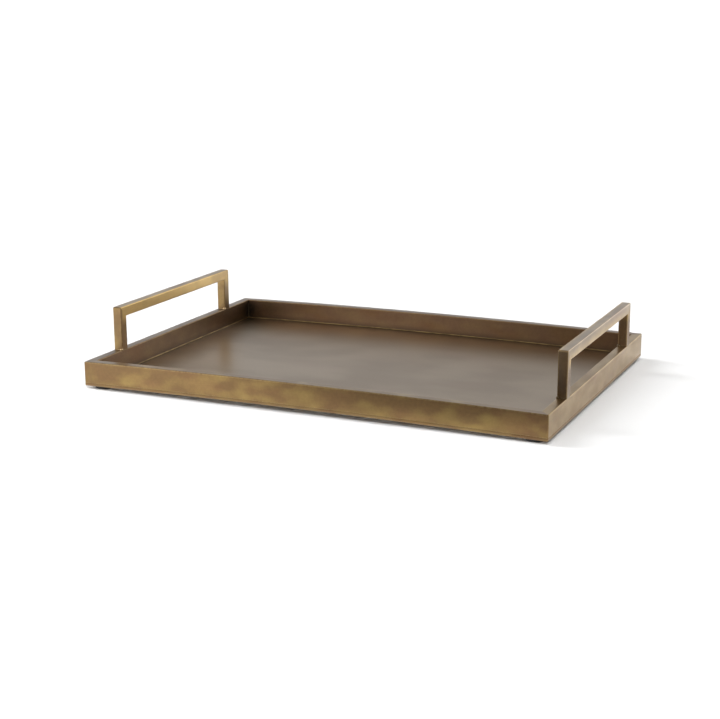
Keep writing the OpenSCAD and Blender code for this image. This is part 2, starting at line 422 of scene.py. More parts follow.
def lathe(bm, profile, centre, steps, top_shift):
    """Turns a profile of (radius, height) round an upright axis at a centre."""
    rings = []
    for r, z in profile:
        ring = []
        for i in range(steps):
            a = 2 * math.pi * i / steps
            x = centre.x + r * math.cos(a)
            y = centre.y + r * math.sin(a)
            ring.append(bm.verts.new((x, y, z + top_shift(x, z))))
        rings.append(ring)
    for low, high in zip(rings, rings[1:]):
        for i in range(steps):
            k = (i + 1) % steps
            bm.faces.new((low[i], low[k], high[k], high[i]))
    bm.faces.new(list(reversed(rings[0])))
    bm.faces.new(rings[-1])


def foot_profile(radius):
    """Outline of a foot as (radius, height), from its tread to its top."""
    profile = [(radius * TREAD_START, 0.0), (radius * TREAD_END, 0.0)]
    for i in range(1, TREAD_STEPS + 1):
        a = math.radians(90 * i / TREAD_STEPS)
        out = TREAD_ROUND * math.sin(a) * TREAD_ROUND_OUT
        profile.append((radius * TREAD_END + out, TREAD_ROUND * (1 - math.cos(a))))
    return profile + [(radius - inward, FOOT_TOP - down) for inward, down in SHOULDER]


def disc_profile(radius):
    """Outline of an adhesive disc as (radius, height), with its two edges broken."""
    low, high = FOOT_TOP, plate_low.z
    inset = radius - DISC_EDGE
    return [(inset, low), (radius, low + DISC_EDGE), (radius, high - DISC_EDGE), (inset, high)]


def foot_shift(x, z):
    """The upper half of a foot rises to the crown of the plate over it."""
    return arch(x) * max(0.0, (z - 0.5 * FOOT_TOP) / (0.5 * FOOT_TOP))


def disc_shift(x, z):
    """A disc lies against the crown of the plate over its whole height."""
    return arch(x)


def make_feet(rubber, adhesive):
    """Four rubber feet, and the adhesive discs that hold them, as one piece."""
    disc_bm = bmesh.new()
    for side_name in SIDES:
        for end_name in ENDS:
            name = f"{side_name}_{end_name}_foot"
            low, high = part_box(name)
            centre, radius = (low + high) / 2, (high.x - low.x) / 2
            bm = bmesh.new()
            lathe(bm, foot_profile(radius), centre, FOOT_SEGMENTS, foot_shift)
            new_piece(name, bm, rubber)
            disc = disc_profile(radius - DISC_INSET)
            lathe(disc_bm, disc, centre, DISC_SEGMENTS, disc_shift)
    new_piece("foot_adhesive_discs", disc_bm, adhesive)


# ---- Solder ----

FILLET_LEG = 1.2 * MM
POST_FILLET_LEG = 1.0 * MM
FILLET_STEPS = 4
LONG_FILLET_STEPS, END_FILLET_STEPS = 120, 90
CORNER_FILLET_STEPS, POST_FILLET_STEPS = 14, 8
# The leg of a fillet varies along it: mean share, swell and wavelength
FILLET_MEAN, FILLET_SWELL, FILLET_WAVE = 0.86, 0.14, 9 * MM
# Bead at the foot of a post: half size, unevenness, place beyond the inner face and over
# the rim, and how much painted highlight it carries
BEAD_SIZE = (1.8 * MM, 2.0 * MM, 1.7 * MM)
BEAD_SWELL, BEAD_LUMPS = 0.16, 1.3
BEAD_OUT, BEAD_UP = 1.0 * MM, 0.5 * MM
BEAD_HIGHLIGHT = {"left": 1.0, "right": 0.1}


def fillet(bm, place, low, high, leg, steps, seed, mitred=False):
    """Concave fillet along a corner. place turns (along, out, up) into a point.

    mitred says whether its two ends are cut at 45 degrees, to meet their neighbours.
    """
    rows = []
    for a in even(low, high, steps):
        ripple = noise.noise(Vector((a / FILLET_WAVE, seed, 0)))
        grown = leg * (FILLET_MEAN + FILLET_SWELL * ripple)
        points = [(0.0, 0.0)]
        for i in range(FILLET_STEPS + 1):
            t = math.radians(90 * i / FILLET_STEPS)
            points.append((grown * (1 - math.sin(t)), grown * (1 - math.cos(t))))
        cut = (a == low) - (a == high) if mitred else 0
        rows.append([bm.verts.new(place(a + cut * out, out, up)) for out, up in points])
    count = len(rows[0])
    for here, there in zip(rows, rows[1:]):
        for i in range(count):
            k = (i + 1) % count
            bm.faces.new((here[i], here[k], there[k], there[i]))
    bm.faces.new(rows[0])
    bm.faces.new(list(reversed(rows[-1])))


def make_floor_solder(material):
    """Fillets between the floor and the four rails."""
    for seed, (name, side) in enumerate(SIDES.items()):

        def long_place(a, out, up, side=side):
            return Vector((a, side * (INNER_W - out), FLOOR_Z + arch(a) + up))

        bm = bmesh.new()
        fillet(bm, long_place, -INNER_L, INNER_L, FILLET_LEG, LONG_FILLET_STEPS, seed, True)
        new_piece(name + "_floor_solder", bm, material, SOLDER_ANGLE)
    for seed, (name, end) in enumerate(ENDS.items(), start=5):

        def end_place(a, out, up, end=end):
            x = end * (INNER_L - out)
            return Vector((x, a, FLOOR_Z + arch(x) + up))

        bm = bmesh.new()
        fillet(bm, end_place, -INNER_W, INNER_W, FILLET_LEG, END_FILLET_STEPS, seed, True)
        new_piece(name + "_floor_solder", bm, material, SOLDER_ANGLE)


def make_corner_solder(material):
    """Upright fillets in the four inner corners."""
    for end_name, end in ENDS.items():
        for side_name, side in SIDES.items():
            name = f"{side_name}_{end_name}_corner_solder"
            low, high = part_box(name)

            def place(a, out, up, end=end, side=side):
                return Vector((end * (INNER_L - out), side * (INNER_W - up), a))

            bm = bmesh.new()
            seed = 3 * end + side
            fillet(bm, place, low.z, high.z, FILLET_LEG, CORNER_FILLET_STEPS, seed)
            new_piece(name, bm, material, SOLDER_ANGLE)


def make_post_solder(materials):
    """A fillet in front of and behind the foot of each post, and a bead."""
    for end_name, end in ENDS.items():
        low = min(end * HALF_L, end * INNER_L) + RIM_EDGE_R
        high = max(end * HALF_L, end * INNER_L) - RIM_EDGE_R
        for side_name, side in SIDES.items():
            bm = bmesh.new()
            faces = ((side * HANDLE_HALF, side), (side * (HANDLE_HALF - BAR_T), -side))
            for i, (y, away) in enumerate(faces):

                def place(a, out, up, y=y, away=away):
                    return Vector((a, y + away * out, RIM_Z + arch(a) + up))

                fillet(bm, place, low, high, POST_FILLET_LEG, POST_FILLET_STEPS, i + end)
            bead(bm, end, side, BEAD_HIGHLIGHT[end_name])
            name = f"{end_name}_{side_name}_post_solder"
            new_piece(name, bm, materials[end_name], SOLDER_ANGLE)


def bead(bm, end, side, bright):
    """Blob of solder in the inner corner at the front of a post's foot."""
    front_y = min(side * HANDLE_HALF, side * (HANDLE_HALF - BAR_T))
    middle = Vector((end * (INNER_L + BEAD_OUT), front_y, RIM_Z + BEAD_UP))
    highlight_layer = bm.verts.layers.float.new("bright")
    made = bmesh.ops.create_icosphere(bm, subdivisions=3, radius=1.0)
    for vert in made["verts"]:
        way = vert.co.copy()
        lump = noise.noise(way * BEAD_LUMPS + Vector((5 * end, 3 * side, 0)))
        swell = 1 + BEAD_SWELL * lump
        vert.co = middle + Vector(way[i] * BEAD_SIZE[i] * swell for i in range(3))
        # A painted highlight on the bead
        vert[highlight_layer] = bright


# ---- Materials ----


class Graph:
    """Builds a node tree whose patterns are measured along one vector."""

    def __init__(self, tree, place):
        self.nodes = tree.nodes
        self.links = tree.links
        self.place = self.nodes.new("ShaderNodeTexCoord").outputs[place]

    def feed(self, socket, value):
        """Links a node's output to a socket, or sets the socket to a plain value."""
        if isinstance(value, bpy.types.NodeSocket):
            self.links.new(value, socket)
        else:
            socket.default_value = value

    def sum(self, operation, a, b=0.0):
        """The result of one operation on two numbers."""
        node = self.nodes.new("ShaderNodeMath")
        node.operation = operation
        self.feed(node.inputs[0], a)
        self.feed(node.inputs[1], b)
        return node.outputs[0]

    def step(self, value, low, high, to_low=0.0, to_high=1.0):
        """Smooth change of a value between low and high."""
        node = self.nodes.new("ShaderNodeMapRange")
        node.interpolation_type = "SMOOTHSTEP"
        for socket, given in zip(node.inputs, (value, low, high, to_low, to_high)):
            self.feed(socket, given)
        return node.outputs[0]

    def vector(self, operation, a, b=None):
        """The result of one operation on one or two vectors."""
        node = self.nodes.new("ShaderNodeVectorMath")
        node.operation = operation
        self.feed(node.inputs[0], a)
        if b is not None:
            self.feed(node.inputs[1], b)
        return node.outputs["Value" if operation in ("DOT_PRODUCT", "LENGTH") else 0]

    def axis(self, name):
        """Place along one axis."""
        node = self.nodes.new("ShaderNodeSeparateXYZ")
        self.links.new(self.place, node.inputs[0])
        return node.outputs[name]

    def lobes(self, level, lobes):
        """A level with smooth lobes added round the compass.

        Each lobe has an azimuth, a half width, and a strength, which may be a socket.
        """
        heading = self.vector("NORMALIZE", self.vector("MULTIPLY", self.place, (1, 1, 0)))
        for azimuth, half_width, strength in lobes:
            facing = self.vector("DOT_PRODUCT", heading, toward(azimuth, 0))
            share = self.step(facing, math.cos(math.radians(half_width)), 1.0)
            level = self.sum("ADD", level, self.sum("MULTIPLY", share, strength))
        return level


class Paint(Graph):
    """A material with one Principled shader, patterned in metres on the object."""

    def __init__(self, name):
        self.material = bpy.data.materials.new(name)
        self.material.use_nodes = True
        super().__init__(self.material.node_tree, "Object")
        self.shader = self.nodes["Principled BSDF"]

    def set(self, **values):
        """Sets sockets of the shader by name, with _ for a space."""
        for name, value in values.items():
            self.feed(self.shader.inputs[name.replace("_", " ")], value)

    def cloud(self, size, detail, rough, shift=0.0):
        """Noise from about 0.25 to 0.75, with patches of the given size along X, Y and Z."""
        mapping = self.nodes.new("ShaderNodeMapping")
        self.links.new(self.place, mapping.inputs["Vector"])
        mapping.inputs["Scale"].default_value = [1 / length for length in size]
        mapping.inputs["Location"].default_value = (shift, shift * 1.7, shift * 0.6)
        node = self.nodes.new("ShaderNodeTexNoise")
        node.inputs["Scale"].default_value = 1
        node.inputs["Detail"].default_value = detail
        node.inputs["Roughness"].default_value = rough
        self.links.new(mapping.outputs["Vector"], node.inputs["Vector"])
        return node.outputs[0]

    def blend(self, amount, a, b):
        """Mixes two colours, from a where the amount is 0 to b where it is 1."""
        node = self.nodes.new("ShaderNodeMix")
        node.data_type = "RGBA"
        self.feed(node.inputs["Factor"], amount)
        for socket, colour in ((node.inputs[6], a), (node.inputs[7], b)):
            self.feed(socket, colour if isinstance(colour, bpy.types.NodeSocket) else (*colour, 1))
        return node.outputs[2]

    def shade(self, colour, brightness):
        """A colour times a brightness."""
        node = self.nodes.new("ShaderNodeVectorMath")
        node.operation = "SCALE"
        self.feed(node.inputs[0], colour)
        self.feed(node.inputs["Scale"], brightness)
        return node.outputs[0]

    def attribute(self, name):
        """A value kept on the points of the mesh, or 0 where it has none."""
        node = self.nodes.new("ShaderNodeAttribute")
        node.attribute_name = name
        return node.outputs["Fac"]

    def bump(self, height, distance, strength, under=None):
        """A normal bent by a height, over another bent normal if there is one."""
        node = self.nodes.new("ShaderNodeBump")
        node.inputs["Distance"].default_value = distance
        node.inputs["Strength"].default_value = strength
        self.feed(node.inputs["Height"], height)
        if under:
            self.links.new(under, node.inputs["Normal"])
        return node.outputs[0]


def lengthwise(axis, length, across):
    """Size of a pattern that is long on one axis and narrow on the other two."""
    return [length if i == axis else across for i in range(3)]


# Kinds of noise, each as its detail and its roughness
FAINT, SOFTER, SOFT, CLOUDY = (1.0, 0.4), (1.0, 0.5), (1.5, 0.5), (2.0, 0.5)
FINE, BRUSHED, DUSTY = (3.0, 0.6), (3.0, 0.65), (4.0, 0.6)
# Nearly the whole range of a noise
NOISE = (0.3, 0.7)
# Depth and strength of the bumps of the dents and of the brushed grain
DENT_DEPTH, DENT_STRENGTH, FLOOR_DENT_STRENGTH = 0.5 * MM, 0.25, 0.2
GRAIN_DEPTH, GRAIN_STRENGTH = 0.012 * MM, 0.4
# What the grain and the grime add to the roughness
GRAIN_ROUGH = (-0.03, 0.04)
GRIME_ROUGH, FLOOR_GRIME_ROUGH = 0.15, 0.2
# The lacquer, its strength on the floor, and what grime takes away from that
COAT_ROUGHNESS, COAT_IOR = 0.35, 1.5
FLOOR_COAT, FLOOR_COAT_LOSS = 0.8, 0.65

# Colours of each piece, from its darker to its rubbed places: partly patina, partly painted light,
# as each piece's tones are set to how bright or grey it looks in the light
FRONT_TONES = ((0.214, 0.120, 0.038), (0.335, 0.218, 0.062))
BACK_TONES = ((0.250, 0.148, 0.082), (0.282, 0.178, 0.090))
LEFT_TONES = ((0.205, 0.121, 0.060), (0.262, 0.164, 0.073))
RIGHT_TONES = ((0.322, 0.202, 0.072), (0.370, 0.240, 0.082))
GRIP_TONES = ((0.240, 0.150, 0.067), (0.320, 0.208, 0.084))
LEFT_POST_TONES = ((0.220, 0.138, 0.058), (0.315, 0.208, 0.074))
RIGHT_POST_TONES = ((0.262, 0.184, 0.118), (0.350, 0.248, 0.134))
COPPER = (0.245, 0.122, 0.046)
# Colour of rubbed edges: wear, and on the front rail also a painted highlight along its edges
RUBBED_AND_HIGHLIGHT = (0.40, 0.28, 0.120)
# Bright brass of hand polish and painted sheen on the grips
HELD_AND_SHEEN = (0.72, 0.49, 0.170)
# Near-black of the dark patina and of painted shade
GRIME_AND_SHADE = (0.034, 0.026, 0.021)
# The cut edge of the base plate under each rail, duller than the rail, with tones set for each side:
# partly patina, partly painted light
EDGE_TONES = {
    "front": ((0.218, 0.128, 0.056), (0.310, 0.204, 0.079)),
    "back": ((0.180, 0.110, 0.055), (0.215, 0.138, 0.065)),
    "left": ((0.190, 0.114, 0.055), (0.240, 0.152, 0.066)),
    "right": ((0.270, 0.172, 0.075), (0.310, 0.204, 0.086)),
}
FLOOR_TONES = ((0.225, 0.147, 0.070), (0.265, 0.180, 0.088))
FLOOR_COPPER = (0.245, 0.145, 0.072)
# Colour of the painted highlight on the beads
SOLDER_HIGHLIGHT = (0.72, 0.53, 0.30)
RUBBER, RUBBER_DUST = (0.011, 0.011, 0.012), (0.03, 0.029, 0.028)
FILM_CLEAR, FILM_YELLOW = (0.62, 0.58, 0.47), (0.5, 0.46, 0.37)
# Where each piece's patterns start in the noise, so that no two are alike
FRONT_SHIFT, BACK_SHIFT, LEFT_SHIFT, RIGHT_SHIFT = 3.3, 60.0, 80.0, 20.0
GRIP_SHIFT, POST_SHIFT = 31.0, 47.0
# How much more gold there is towards the foot of the front rail, partly real gold patches and partly
# a painted reflection that is brighter low down
LOW_GOLD_AND_SHEEN = 0.08
# Dark line along the walls of the floor: where it starts and is full, and how ragged
LINE_START, LINE_FULL, LINE_RAGGED = 2.8 * MM, 1.6 * MM, 0.5 * MM
# Soft darkening of the floor along the walls and in the corners, partly patina and partly painted
# shade, and painted shade towards the left end
WALL_REACH, WALL_GRIME_AND_SHADE = 16 * MM, 0.35
CORNER_GRIME_AND_SHADE = 0.8
LEFT_START, LEFT_FULL, LEFT_PAINTED_SHADE = 65 * MM, 5 * MM, 0.33


def patina(paint, axis, shift, tones, low_gold_and_sheen=0.0):
    """Soft patches of brown and gold, drawn out along one axis, and where they lie.

    The last argument says how much more gold there is towards the foot of a rail, partly real gold
    patches and partly a painted reflection that is brighter low down.
    """
    patches = paint.cloud(lengthwise(axis, 26 * MM, 15 * MM), *SOFTER, shift)
    if low_gold_and_sheen:
        foot = paint.step(paint.axis("Z"), RIM_Z, FLOOR_Z, -low_gold_and_sheen, low_gold_and_sheen)
        patches = paint.sum("ADD", patches, foot)
    warm = paint.cloud(lengthwise(axis, 60 * MM, 24 * MM), *SOFT, shift + 9.3)
    colour = paint.blend(paint.step(patches, 0.34, 0.74), *tones)
    return paint.blend(paint.step(warm, 0.45, 0.75, 0.0, 0.55), colour, COPPER), patches


def brushed_normal(paint, grain, dents, dent_strength):
    """Normal of brushed metal over shallow dents."""
    dented = paint.bump(dents, DENT_DEPTH, dent_strength)
    return paint.bump(grain, GRAIN_DEPTH, GRAIN_STRENGTH, dented)


def brass(name, axis, shift, tones, low_gold_and_sheen=0.0, coat=0.8, rub_and_highlight=0.45):
    """Lacquered antique brass, brushed along one axis; its edges and held places carry wear and
    painted highlights, and its corners patina and painted shade.
    """
    paint = Paint(name)
    colour, patches = patina(paint, axis, shift, tones, low_gold_and_sheen)
    speckle = paint.cloud((3.2 * MM,) * 3, *FINE, shift + 4.1)
    grain = paint.cloud(lengthwise(axis, 26 * MM, 0.35 * MM), *BRUSHED, shift + 2.2)
    # Edge wear, which on the front rail is also a painted highlight
    worn = paint.step(speckle, 0.3, 0.65, 0.1, rub_and_highlight)
    wear = paint.sum("MULTIPLY", paint.attribute("wear"), worn)
    colour = paint.shade(colour, paint.step(speckle, *NOISE, 0.94, 1.06))
    colour = paint.shade(colour, paint.step(grain, *NOISE, 0.95, 1.05))
    colour = paint.blend(wear, colour, RUBBED_AND_HIGHLIGHT)
    # Hand polish and a painted sheen brighten the held places
    golden = paint.step(patches, 0.3, 0.6, 0.62, 0.85)
    held_and_sheen = paint.sum("MULTIPLY", paint.attribute("held_and_sheen"), golden)
    colour = paint.blend(held_and_sheen, colour, HELD_AND_SHEEN)
    # Patina and painted shade darken the corners, the foot of the walls and two rims
    dark = paint.step(speckle, 0.25, 0.6, 0.6, 1.0)
    grime_and_shade = paint.sum("MULTIPLY", paint.attribute("grime_and_shade"), dark)
    colour = paint.blend(grime_and_shade, colour, GRIME_AND_SHADE)
    rough = paint.step(patches, *NOISE, 0.39, 0.32)
    rough = paint.sum("ADD", rough, paint.step(grain, 0.25, 0.75, *GRAIN_ROUGH))
    rough = paint.sum("ADD", rough, paint.sum("MULTIPLY", grime_and_shade, GRIME_ROUGH))
    dents = paint.cloud(lengthwise(axis, 30 * MM, 14 * MM), *FAINT, shift + 6.0)
    normal = brushed_normal(paint, grain, dents, DENT_STRENGTH)
    paint.set(
        Base_Color=colour, Metallic=1.0, Roughness=rough, Normal=normal,
        Coat_Weight=paint.sum("SUBTRACT", coat, paint.sum("MULTIPLY", grime_and_shade, 0.5 * coat)),
        Coat_Roughness=COAT_ROUGHNESS, Coat_IOR=COAT_IOR,
    )
    return paint.material


def plate_brass():
    """The floor of the tray: darker and greyer, with grime and painted shade along the walls and in
    the corners, and painted shade towards the left end.
    """
    paint = Paint("plate_brass")
    clouds = paint.cloud((95 * MM, 60 * MM, 60 * MM), *CLOUDY, 1.3)
    warm = paint.cloud((70 * MM, 45 * MM, 60 * MM), *CLOUDY, 7.7)
    speckle = paint.cloud((2.6 * MM,) * 3, *FINE, 3.0)
    grain = paint.cloud((34 * MM, 0.4 * MM, 8 * MM), *BRUSHED, 5.0)
    to_end = paint.sum("SUBTRACT", INNER_L, paint.sum("ABSOLUTE", paint.axis("X")))
    to_side = paint.sum("SUBTRACT", INNER_W, paint.sum("ABSOLUTE", paint.axis("Y")))
    to_wall = paint.sum("MINIMUM", to_end, to_side)
    to_corner = paint.sum("MAXIMUM", to_end, to_side)
    colour = paint.blend(paint.step(clouds, 0.35, 0.65), *FLOOR_TONES)
    colour = paint.blend(paint.step(warm, 0.5, 0.75, 0.0, 0.5), colour, FLOOR_COPPER)
    colour = paint.shade(colour, paint.step(speckle, *NOISE, 0.95, 1.05))
    colour = paint.shade(colour, paint.step(grain, *NOISE, 0.96, 1.04))
    # A ragged dark line runs along the foot of the walls; the soft darkening along the walls and in
    # the corners is partly patina and partly painted shade, and towards the left end it is painted
    # shade
    ragged = paint.sum("ADD", to_wall, paint.sum("MULTIPLY", speckle, LINE_RAGGED))
    line = paint.step(ragged, LINE_START, LINE_FULL)
    corner = paint.step(to_corner, DARK_CORNER_REACH, 0.0, 0.0, CORNER_GRIME_AND_SHADE)
    soft = paint.step(to_wall, WALL_REACH, 0.0, 0.0, WALL_GRIME_AND_SHADE)
    to_left = paint.sum("ADD", paint.axis("X"), INNER_L)
    left = paint.step(to_left, LEFT_START, LEFT_FULL, 0.0, LEFT_PAINTED_SHADE)
    grime_and_shade = line
    for other in (corner, soft, left):
        grime_and_shade = paint.sum("MAXIMUM", grime_and_shade, other)
    grime_and_shade = paint.sum("MULTIPLY", grime_and_shade, paint.attribute("grime_and_shade"))
    colour = paint.blend(grime_and_shade, colour, GRIME_AND_SHADE)
    # Outside the walls the plate is only its own edge, finished with the rails over it.
    edges = {
        "front": patina(paint, 0, FRONT_SHIFT, EDGE_TONES["front"], LOW_GOLD_AND_SHEEN)[0],
        "back": patina(paint, 0, BACK_SHIFT, EDGE_TONES["back"])[0],
        "left": patina(paint, 1, LEFT_SHIFT, EDGE_TONES["left"])[0],
        "right": patina(paint, 1, RIGHT_SHIFT, EDGE_TONES["right"])[0],
    }
    at_end = paint.step(paint.sum("SUBTRACT", to_side, to_end), -0.1 * MM, 0.1 * MM)
    side_edge = paint.blend(paint.step(paint.axis("Y"), -MM, MM), edges["front"], edges["back"])
    end_edge = paint.blend(paint.step(paint.axis("X"), -MM, MM), edges["left"], edges["right"])
    edge = paint.blend(at_end, side_edge, end_edge)
    colour = paint.blend(paint.step(to_wall, -0.8 * RAIL_W, -0.95 * RAIL_W), colour, edge)
    rough = paint.step(clouds, *NOISE, 0.38, 0.31)
    rough = paint.sum("ADD", rough, paint.step(grain, 0.25, 0.75, *GRAIN_ROUGH))
    rough = paint.sum("ADD", rough, paint.sum("MULTIPLY", grime_and_shade, FLOOR_GRIME_ROUGH))
    dents = paint.cloud((60 * MM, 40 * MM, 40 * MM), *FAINT, 2.0)
    normal = brushed_normal(paint, grain, dents, FLOOR_DENT_STRENGTH)
    paint.set(
        Base_Color=colour, Metallic=1.0, Roughness=rough, Normal=normal,
        Coat_Weight=paint.sum("SUBTRACT", FLOOR_COAT, paint.sum("MULTIPLY", grime_and_shade, FLOOR_COAT_LOSS)),
        Coat_Roughness=COAT_ROUGHNESS, Coat_IOR=COAT_IOR,
    )
    return paint.material


def solder_brass(name, bright, dull, shift):
    """Brazing alloy, smoothed by hand, with dull patches, fine pits and, on the beads, a painted
    highlight.
    """
    paint = Paint(name)
    patches = paint.cloud((14 * MM,) * 3, *FINE, shift)
    pits = paint.cloud((0.9 * MM,) * 3, *FINE, shift + 1.0)
    colour = paint.blend(paint.step(patches, 0.4, 0.62), bright, dull)
    # The bright attribute paints a highlight on the beads
    colour = paint.blend(paint.attribute("bright"), colour, SOLDER_HIGHLIGHT)
    colour = paint.shade(colour, paint.step(pits, *NOISE, 0.88, 1.1))
    rough = paint.step(patches, 0.35, 0.65, 0.36, 0.50)
    rough = paint.sum("SUBTRACT", rough, paint.sum("MULTIPLY", paint.attribute("bright"), 0.14))
    paint.set(
        Base_Color=colour, Metallic=1.0, Roughness=rough, Normal=paint.bump(pits, 0.08 * MM, 0.5),
        Coat_Weight=0.25, Coat_Roughness=COAT_ROUGHNESS, Coat_IOR=COAT_IOR,
    )
    return paint.material


def black_rubber():
    """Moulded rubber, matte, with a fine skin and patches of dust."""
    paint = Paint("black_rubber")
    skin = paint.cloud((0.5 * MM,) * 3, *FINE)
    dust = paint.cloud((4 * MM,) * 3, *DUSTY, 3.0)
    colour = paint.blend(paint.step(dust, 0.45, 0.75, 0.0, 0.6), RUBBER, RUBBER_DUST)
    paint.set(
        Base_Color=colour, Roughness=paint.step(skin, *NOISE, 0.55, 0.75),
        Normal=paint.bump(skin, 0.05 * MM, 0.4),
    )
    return paint.material


def adhesive_film():
    """Edge of the clear adhesive disc under each foot, slightly yellowed."""
    paint = Paint("adhesive_film")
    haze = paint.cloud((1.5 * MM,) * 3, *FINE)
    colour = paint.blend(paint.step(haze, 0.35, 0.65), FILM_CLEAR, FILM_YELLOW)
    paint.set(
        Base_Color=colour, Roughness=paint.step(haze, *NOISE, 0.35, 0.55),
        Normal=paint.bump(haze, 0.03 * MM, 0.4),
    )
    return paint.material


# ---- Camera ----

# Angles in degrees, the azimuth from the front towards the right
CAMERA_AZIMUTH, CAMERA_ELEVATION, CAMERA_ROLL = 24.151, 14.205, -0.281
CAMERA_DISTANCE = 1.63195
CAMERA_AIM = Vector((-15.469, 0.574, 13.36)) * MM
CAMERA_LENS, CAMERA_SENSOR = 74.33, 36


def make_camera():
    """Camera at the photograph's angle, aimed near the middle of the tray."""
    back = toward(CAMERA_AZIMUTH, CAMERA_ELEVATION)
    data = bpy.data.cameras.new("camera")
    data.lens = CAMERA_LENS
    data.sensor_width = CAMERA_SENSOR
    data.sensor_fit = "HORIZONTAL"
    data.clip_end = 200
    camera = bpy.data.objects.new("camera", data)
    bpy.context.scene.collection.objects.link(camera)
    camera.location = CAMERA_AIM + back * CAMERA_DISTANCE
    camera.rotation_mode = "QUATERNION"
    turn = (-back).to_track_quat("-Z", "Y")
    camera.rotation_quaternion = turn @ Quaternion((0, 0, 1), math.radians(CAMERA_ROLL))
    bpy.context.scene.camera = camera


# ---- Studio ----

FLOOR_HALF = 60
FLOOR_WHITE = (0.8, 0.8, 0.8)
# Light for the floor: azimuth from the front towards the right, elevation and spread in
# degrees, and strength
SUNS = {
    "top_light": (0, 90, 12, 0.9),
    "left_light_22": (270, 22, 22, 1.45),
    "left_light_38": (270, 38, 22, 0.9),
    "left_light_54": (270, 54, 22, 0.68),
    "right_light": (32, 42, 10, 2.3),
    "front_light": (345, 10, 14, 1.4),
}


def flat_sheet(name, size, material, centre=(0, 0, 0)):
    """A flat stage sheet of the given half size."""
    bm = bmesh.new()
    bmesh.ops.create_grid(bm, x_segments=1, y_segments=1, size=1)
    for vert in bm.verts:
        vert.co = Vector((vert.co.x * size[0], vert.co.y * size[1], 0))
    mesh = bpy.data.meshes.new(name)
    bm.to_mesh(mesh)
    bm.free()
    mesh.materials.append(material)
    sheet = bpy.data.objects.new(name, mesh)
    sheet.location = centre
    bpy.context.scene.collection.objects.link(sheet)
    return sheet


def matte(name, colour):
    """A plain material without any shine."""
    paint = Paint(name)
    paint.set(Base_Color=(*colour, 1), Roughness=1.0, Specular_IOR_Level=0.0)
    return paint.material


def make_sun(name, azimuth, elevation, spread, strength):
    """Soft light for the floor, which the metal doesn't mirror."""
    data = bpy.data.lights.new(name, "SUN")
    data.energy = strength
    data.angle = math.radians(spread)
    sun = bpy.data.objects.new(name, data)
    sun.rotation_mode = "QUATERNION"
    sun.rotation_quaternion = toward(azimuth, elevation).to_track_quat("Z", "Y")
    sun.visible_glossy = False
    bpy.context.scene.collection.objects.link(sun)


# Light of the room, and of soft panels in it: azimuth from the front towards the right,
# half width and top edge in degrees, and strength
ROOM_LIGHT = 0.5
PANELS = (
    (308, 52, 50, 2.0),
    (50, 50, 60, 0.7),
    (135, 65, 50, 1.4),
    (222, 36, 25, 0.6),
    (175, 40, 25, 0.2),
)
# Share of the room's light that reaches matte surfaces, which the suns light
ROOM_FILL = 0.1
# White of the room straight behind the floor, where a low camera sees it
BACKGROUND_LIGHT = 2.0
# Light of the table as the metal mirrors it, away from the tray: azimuth, half width
# and strength, near the tray and on the far part of the table
TABLE_LIGHT = 0.75
TABLE_LOBES = ((310, 60, 0.5), (25, 65, -0.6))
BACKDROP_LOBES = ((155, 65, 1.25), (225, 50, -0.3))
TABLE_HEIGHT = 0.1 * MM
TABLE_START, TABLE_FULL = 5 * MM, 110 * MM
BACKDROP_START, BACKDROP_FULL = 200 * MM, 550 * MM
# Card that stands in front of the tray, bright on the left and black on the right
CARD_AWAY, CARD_HEIGHT, CARD_HALF = 230 * MM, 360 * MM, 900 * MM
CARD_BRIGHT_X, CARD_BLACK_X = -380 * MM, 160 * MM
CARD_LIGHT, CARD_BLACK = 1.55, 0.22


def make_world():
    """Room light that dims and brightens smoothly round the compass."""
    world = bpy.data.worlds.new("studio")
    bpy.context.scene.world = world
    world.use_nodes = True
    graph = Graph(world.node_tree, "Generated")
    height = graph.axis("Z")
    panels = [
        (azimuth, width, graph.step(height, math.sin(math.radians(top)), 0.0, 0.0, strength))
        for azimuth, width, top, strength in PANELS
    ]
    rays = graph.nodes.new("ShaderNodeLightPath")
    fill = graph.step(rays.outputs["Is Diffuse Ray"], 0.0, 1.0, 1.0, ROOM_FILL)
    background = graph.nodes["Background"]
    background.inputs["Color"].default_value = (1, 1, 1, 1)
    light = graph.sum("MULTIPLY", graph.lobes(ROOM_LIGHT, panels), fill)
    seen = graph.sum("MULTIPLY", rays.outputs["Is Camera Ray"], BACKGROUND_LIGHT)
    graph.feed(background.inputs["Strength"], graph.sum("MAXIMUM", light, seen))


def glow_graph(name):
    """A new material and its empty node tree, to end with finish_glow."""
    material = bpy.data.materials.new(name)
    material.use_nodes = True
    graph = Graph(material.node_tree, "Object")
    graph.nodes.remove(graph.nodes["Principled BSDF"])
    return material, graph


def finish_glow(graph, strength, share):
    """Ends a glow material: light of some strength, clear where its share is 0."""
    glow = graph.nodes.new("ShaderNodeEmission")
    graph.feed(glow.inputs["Strength"], strength)
    clear = graph.nodes.new("ShaderNodeBsdfTransparent")
    mix = graph.nodes.new("ShaderNodeMixShader")
    graph.feed(mix.inputs[0], share)
    graph.feed(mix.inputs[1], clear.outputs[0])
    graph.feed(mix.inputs[2], glow.outputs[0])
    graph.feed(graph.nodes["Material Output"].inputs["Surface"], mix.outputs[0])


def only_mirrored(sheet):
    """Hides a stage sheet from all but reflections."""
    for rays in ("camera", "diffuse", "shadow", "transmission"):
        setattr(sheet, "visible_" + rays, False)


